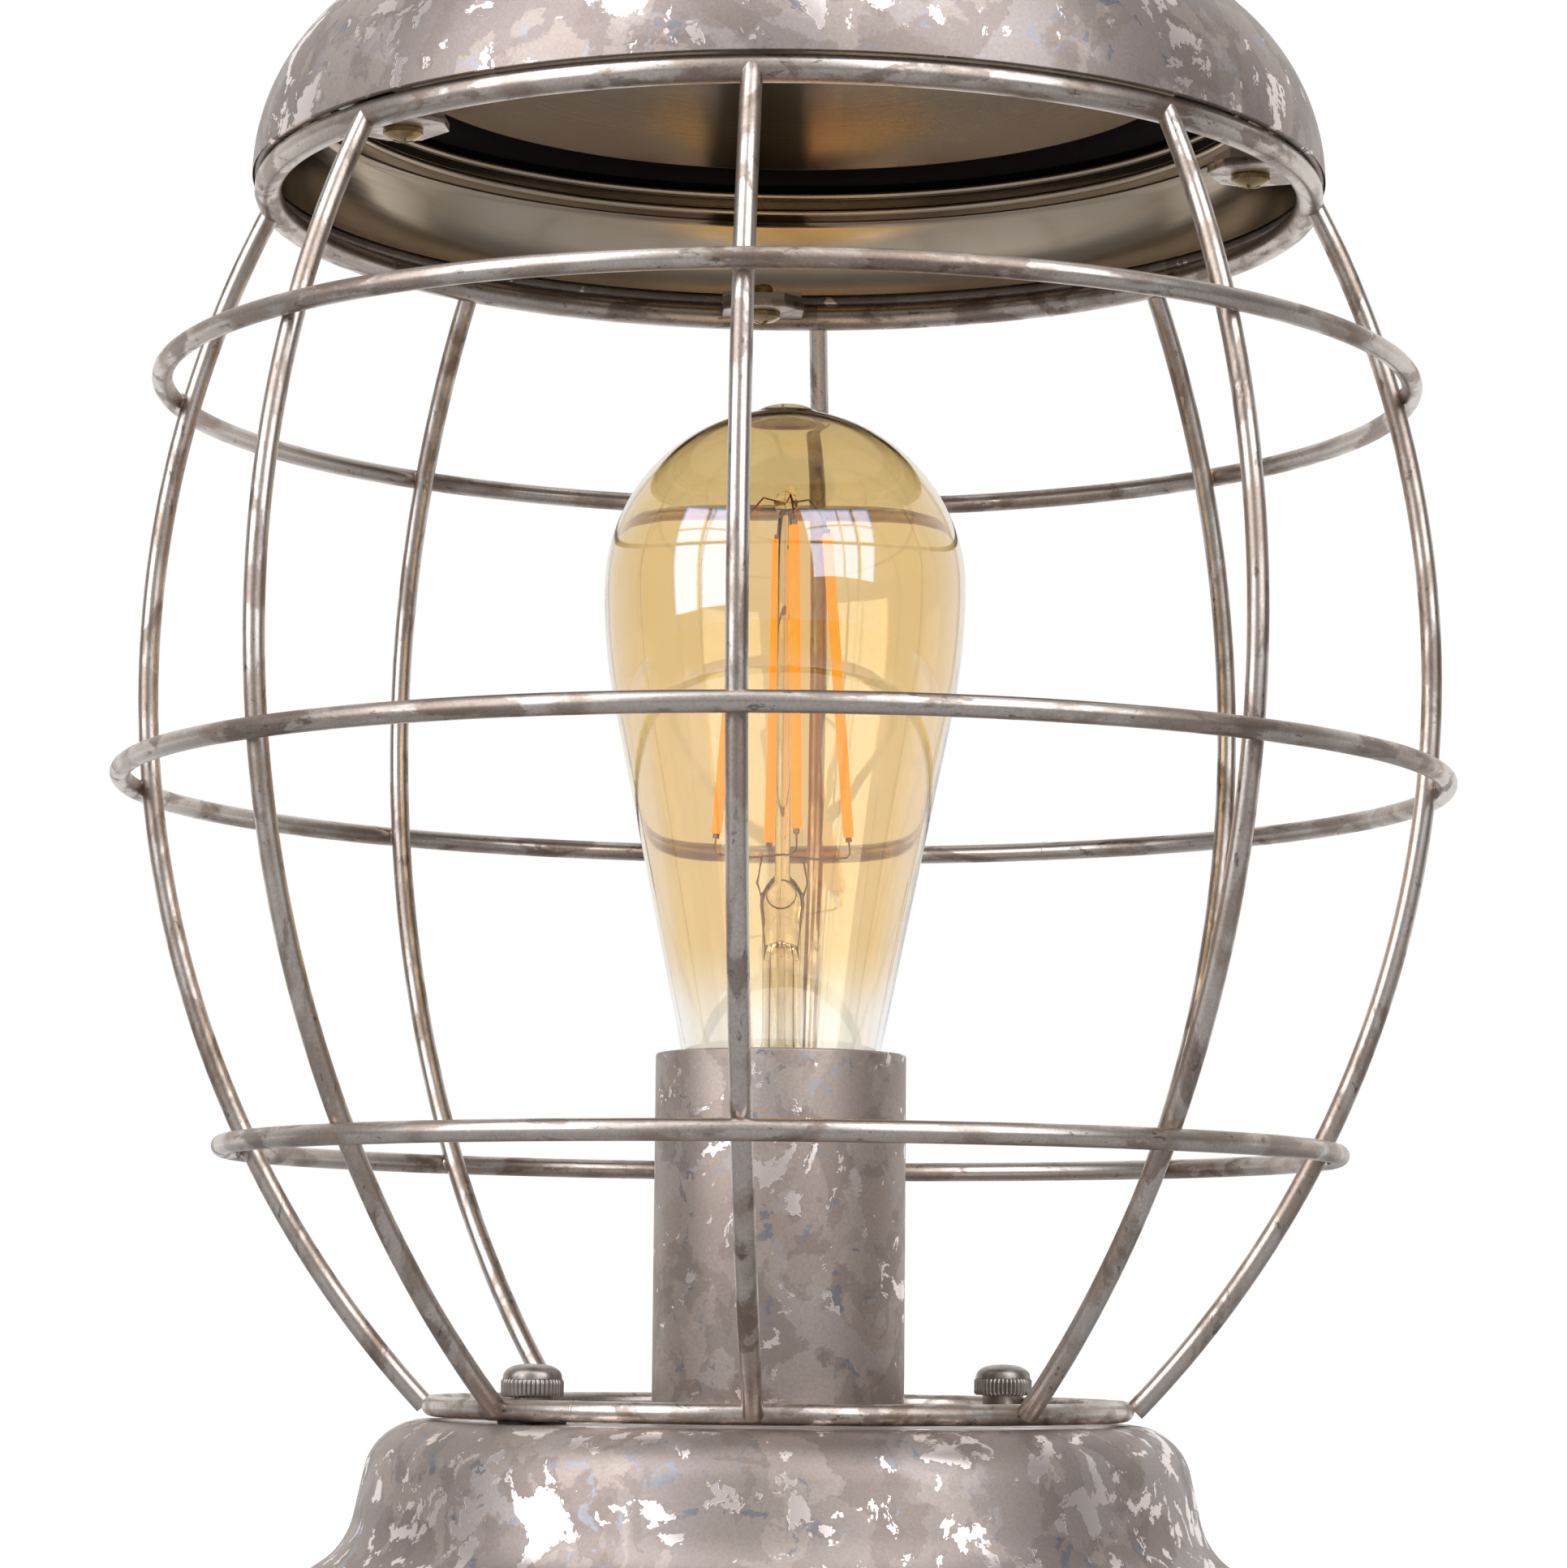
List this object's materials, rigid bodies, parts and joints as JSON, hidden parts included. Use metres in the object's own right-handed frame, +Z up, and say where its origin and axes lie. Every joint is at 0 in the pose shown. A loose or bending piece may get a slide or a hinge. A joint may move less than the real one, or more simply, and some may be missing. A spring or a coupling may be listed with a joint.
{
  "type": "cage lantern table lamp",
  "caption": "Table lantern: spun steel base with a socket tube and pear bulb, under a lift-off barrel cage of welded wire with a spun cap and carrying ring.",
  "frame": {"origin": "centre of the felt pad's underside, on the table, on the lamp's axis", "axes": "+Z up along the lamp's axis, -Y the front as pictured, cord inlet at +Y"},
  "size_m": [0.2362, 0.2362, 0.3482],
  "materials": {
    "galvanised_steel": "aged galvanised sheet, satin with lighter and darker patches",
    "galvanised_wire": "aged galvanised wire, brown-grey patina over bright steel",
    "polished_steel": "spun bright steel, polished",
    "cast_iron": "rough casting",
    "felt": "pressed felt",
    "rubber": "moulded",
    "zinc_hardware": "zinc plated, dull",
    "phenolic": "moulded, black-brown",
    "brass": "bright, lightly tarnished",
    "amber_glass": "clear blown glass with an amber coat",
    "clear_glass": "clear drawn glass",
    "black_glass": "opaque moulded glass",
    "plated_brass": "nickel plated, satin",
    "solder": "dull solder",
    "phosphor": "orange-yellow silicone with phosphor",
    "nickel_wire": "drawn wire",
    "fibre": "pressed fibre",
    "nickel": "dark nickel plate, polished"
  },
  "bodies": {
    "base": {"base_shell": "galvanised_steel", "base_weight": "cast_iron", "felt_pad": "felt", "cord_grommet": "rubber", "lamp_pipe": "zinc_hardware", "pipe_nuts": "zinc_hardware", "pipe_washers": "zinc_hardware", "socket_tube": "galvanised_steel", "socket_body": "phenolic", "socket_screw_shell": "brass", "socket_contact": "brass", "cage_studs": "zinc_hardware", "fibre_washers": "fibre"},
    "bulb": {"bulb_glass": "amber_glass", "bulb_cap": "plated_brass", "bulb_insulator": "black_glass", "bulb_contact": "solder", "bulb_stem": "clear_glass", "bulb_filaments": "phosphor", "bulb_wires": "nickel_wire"},
    "cage": {"cage_wire_1": "galvanised_wire", "cage_wire_2": "galvanised_wire", "cage_wire_3": "galvanised_wire", "cage_wire_4": "galvanised_wire", "cage_wire_5": "galvanised_wire", "cage_wire_6": "galvanised_wire", "cage_wire_7": "galvanised_wire", "cage_wire_8": "galvanised_wire", "low_ring": "galvanised_wire", "top_ring": "galvanised_wire", "low_hoop": "galvanised_wire", "middle_hoop": "galvanised_wire", "top_hoop": "galvanised_wire", "low_tabs": "galvanised_wire", "top_tabs": "galvanised_wire", "cap_shell": "galvanised_steel", "cap_reflector": "polished_steel", "cap_brackets": "zinc_hardware", "cap_screws": "brass", "ring_post": "galvanised_wire", "ring_post_washer": "zinc_hardware", "ring_post_nut": "zinc_hardware"},
    "thumb_nut_right": {"thumb_nut_right": "nickel"},
    "thumb_nut_left": {"thumb_nut_left": "nickel"},
    "carrying_ring": {"carrying_ring": "galvanised_wire"}
  },
  "joints": [
    {"name": "cage_lift", "type": "slide", "parent": "base", "child": "cage", "axis": [0, 0, 1], "range_m": [0, 0.2]},
    {"name": "bulb_lift", "type": "slide", "parent": "base", "child": "bulb", "axis": [0, 0, 1], "range_m": [0, 0.035]},
    {"name": "thumb_nut_right_turn", "type": "hinge", "parent": "cage", "child": "thumb_nut_right", "pos_m": [0.03854, 0.03854, 0.0605], "axis": [0, 0, 1], "continuous": true},
    {"name": "thumb_nut_left_turn", "type": "hinge", "parent": "cage", "child": "thumb_nut_left", "pos_m": [-0.03854, -0.03854, 0.0605], "axis": [0, 0, 1], "continuous": true},
    {"name": "carrying_ring_swing", "type": "hinge", "parent": "cage", "child": "carrying_ring", "pos_m": [0, 0, 0.34], "axis": [1, 0, 0], "range_deg": [0, 163.2]}
  ]
}
